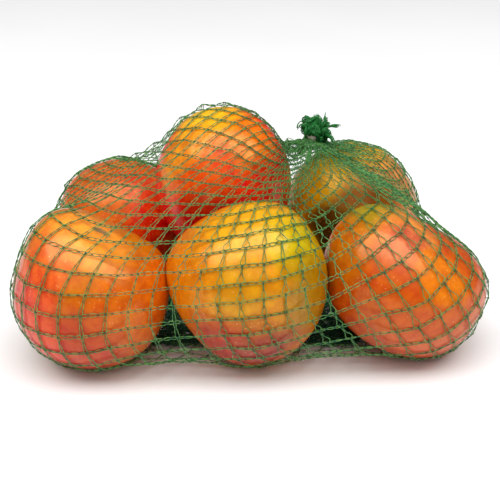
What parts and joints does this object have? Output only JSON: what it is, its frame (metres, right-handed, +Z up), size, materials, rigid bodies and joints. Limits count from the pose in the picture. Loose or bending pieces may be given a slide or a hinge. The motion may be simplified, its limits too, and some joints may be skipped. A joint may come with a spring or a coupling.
{
  "type": "net bag of tomatoes",
  "caption": "Green knitted net bag packed tight with round salad tomatoes, lying on its side, gathered and clipped shut at both ends.",
  "frame": {"origin": "bottom centre of the bounding box, on the surface the bag lies on", "axes": "+X along the front row of fruit from left to right, +Y from the front row to the back row, +Z up"},
  "size_m": [0.2148, 0.1682, 0.1002],
  "materials": {
    "net_yarn": "satin green polyethylene yarn, knitted in pairs",
    "tomato_skin": "smooth waxy tomato skin, red to orange and yellow-green",
    "clip_metal": "soft crimped wire, dull pale lustre"
  },
  "bodies": {
    "root": {"filled_net": "net_yarn", "top_clip": "clip_metal", "back_clip": "clip_metal"}
  },
  "joints": []
}
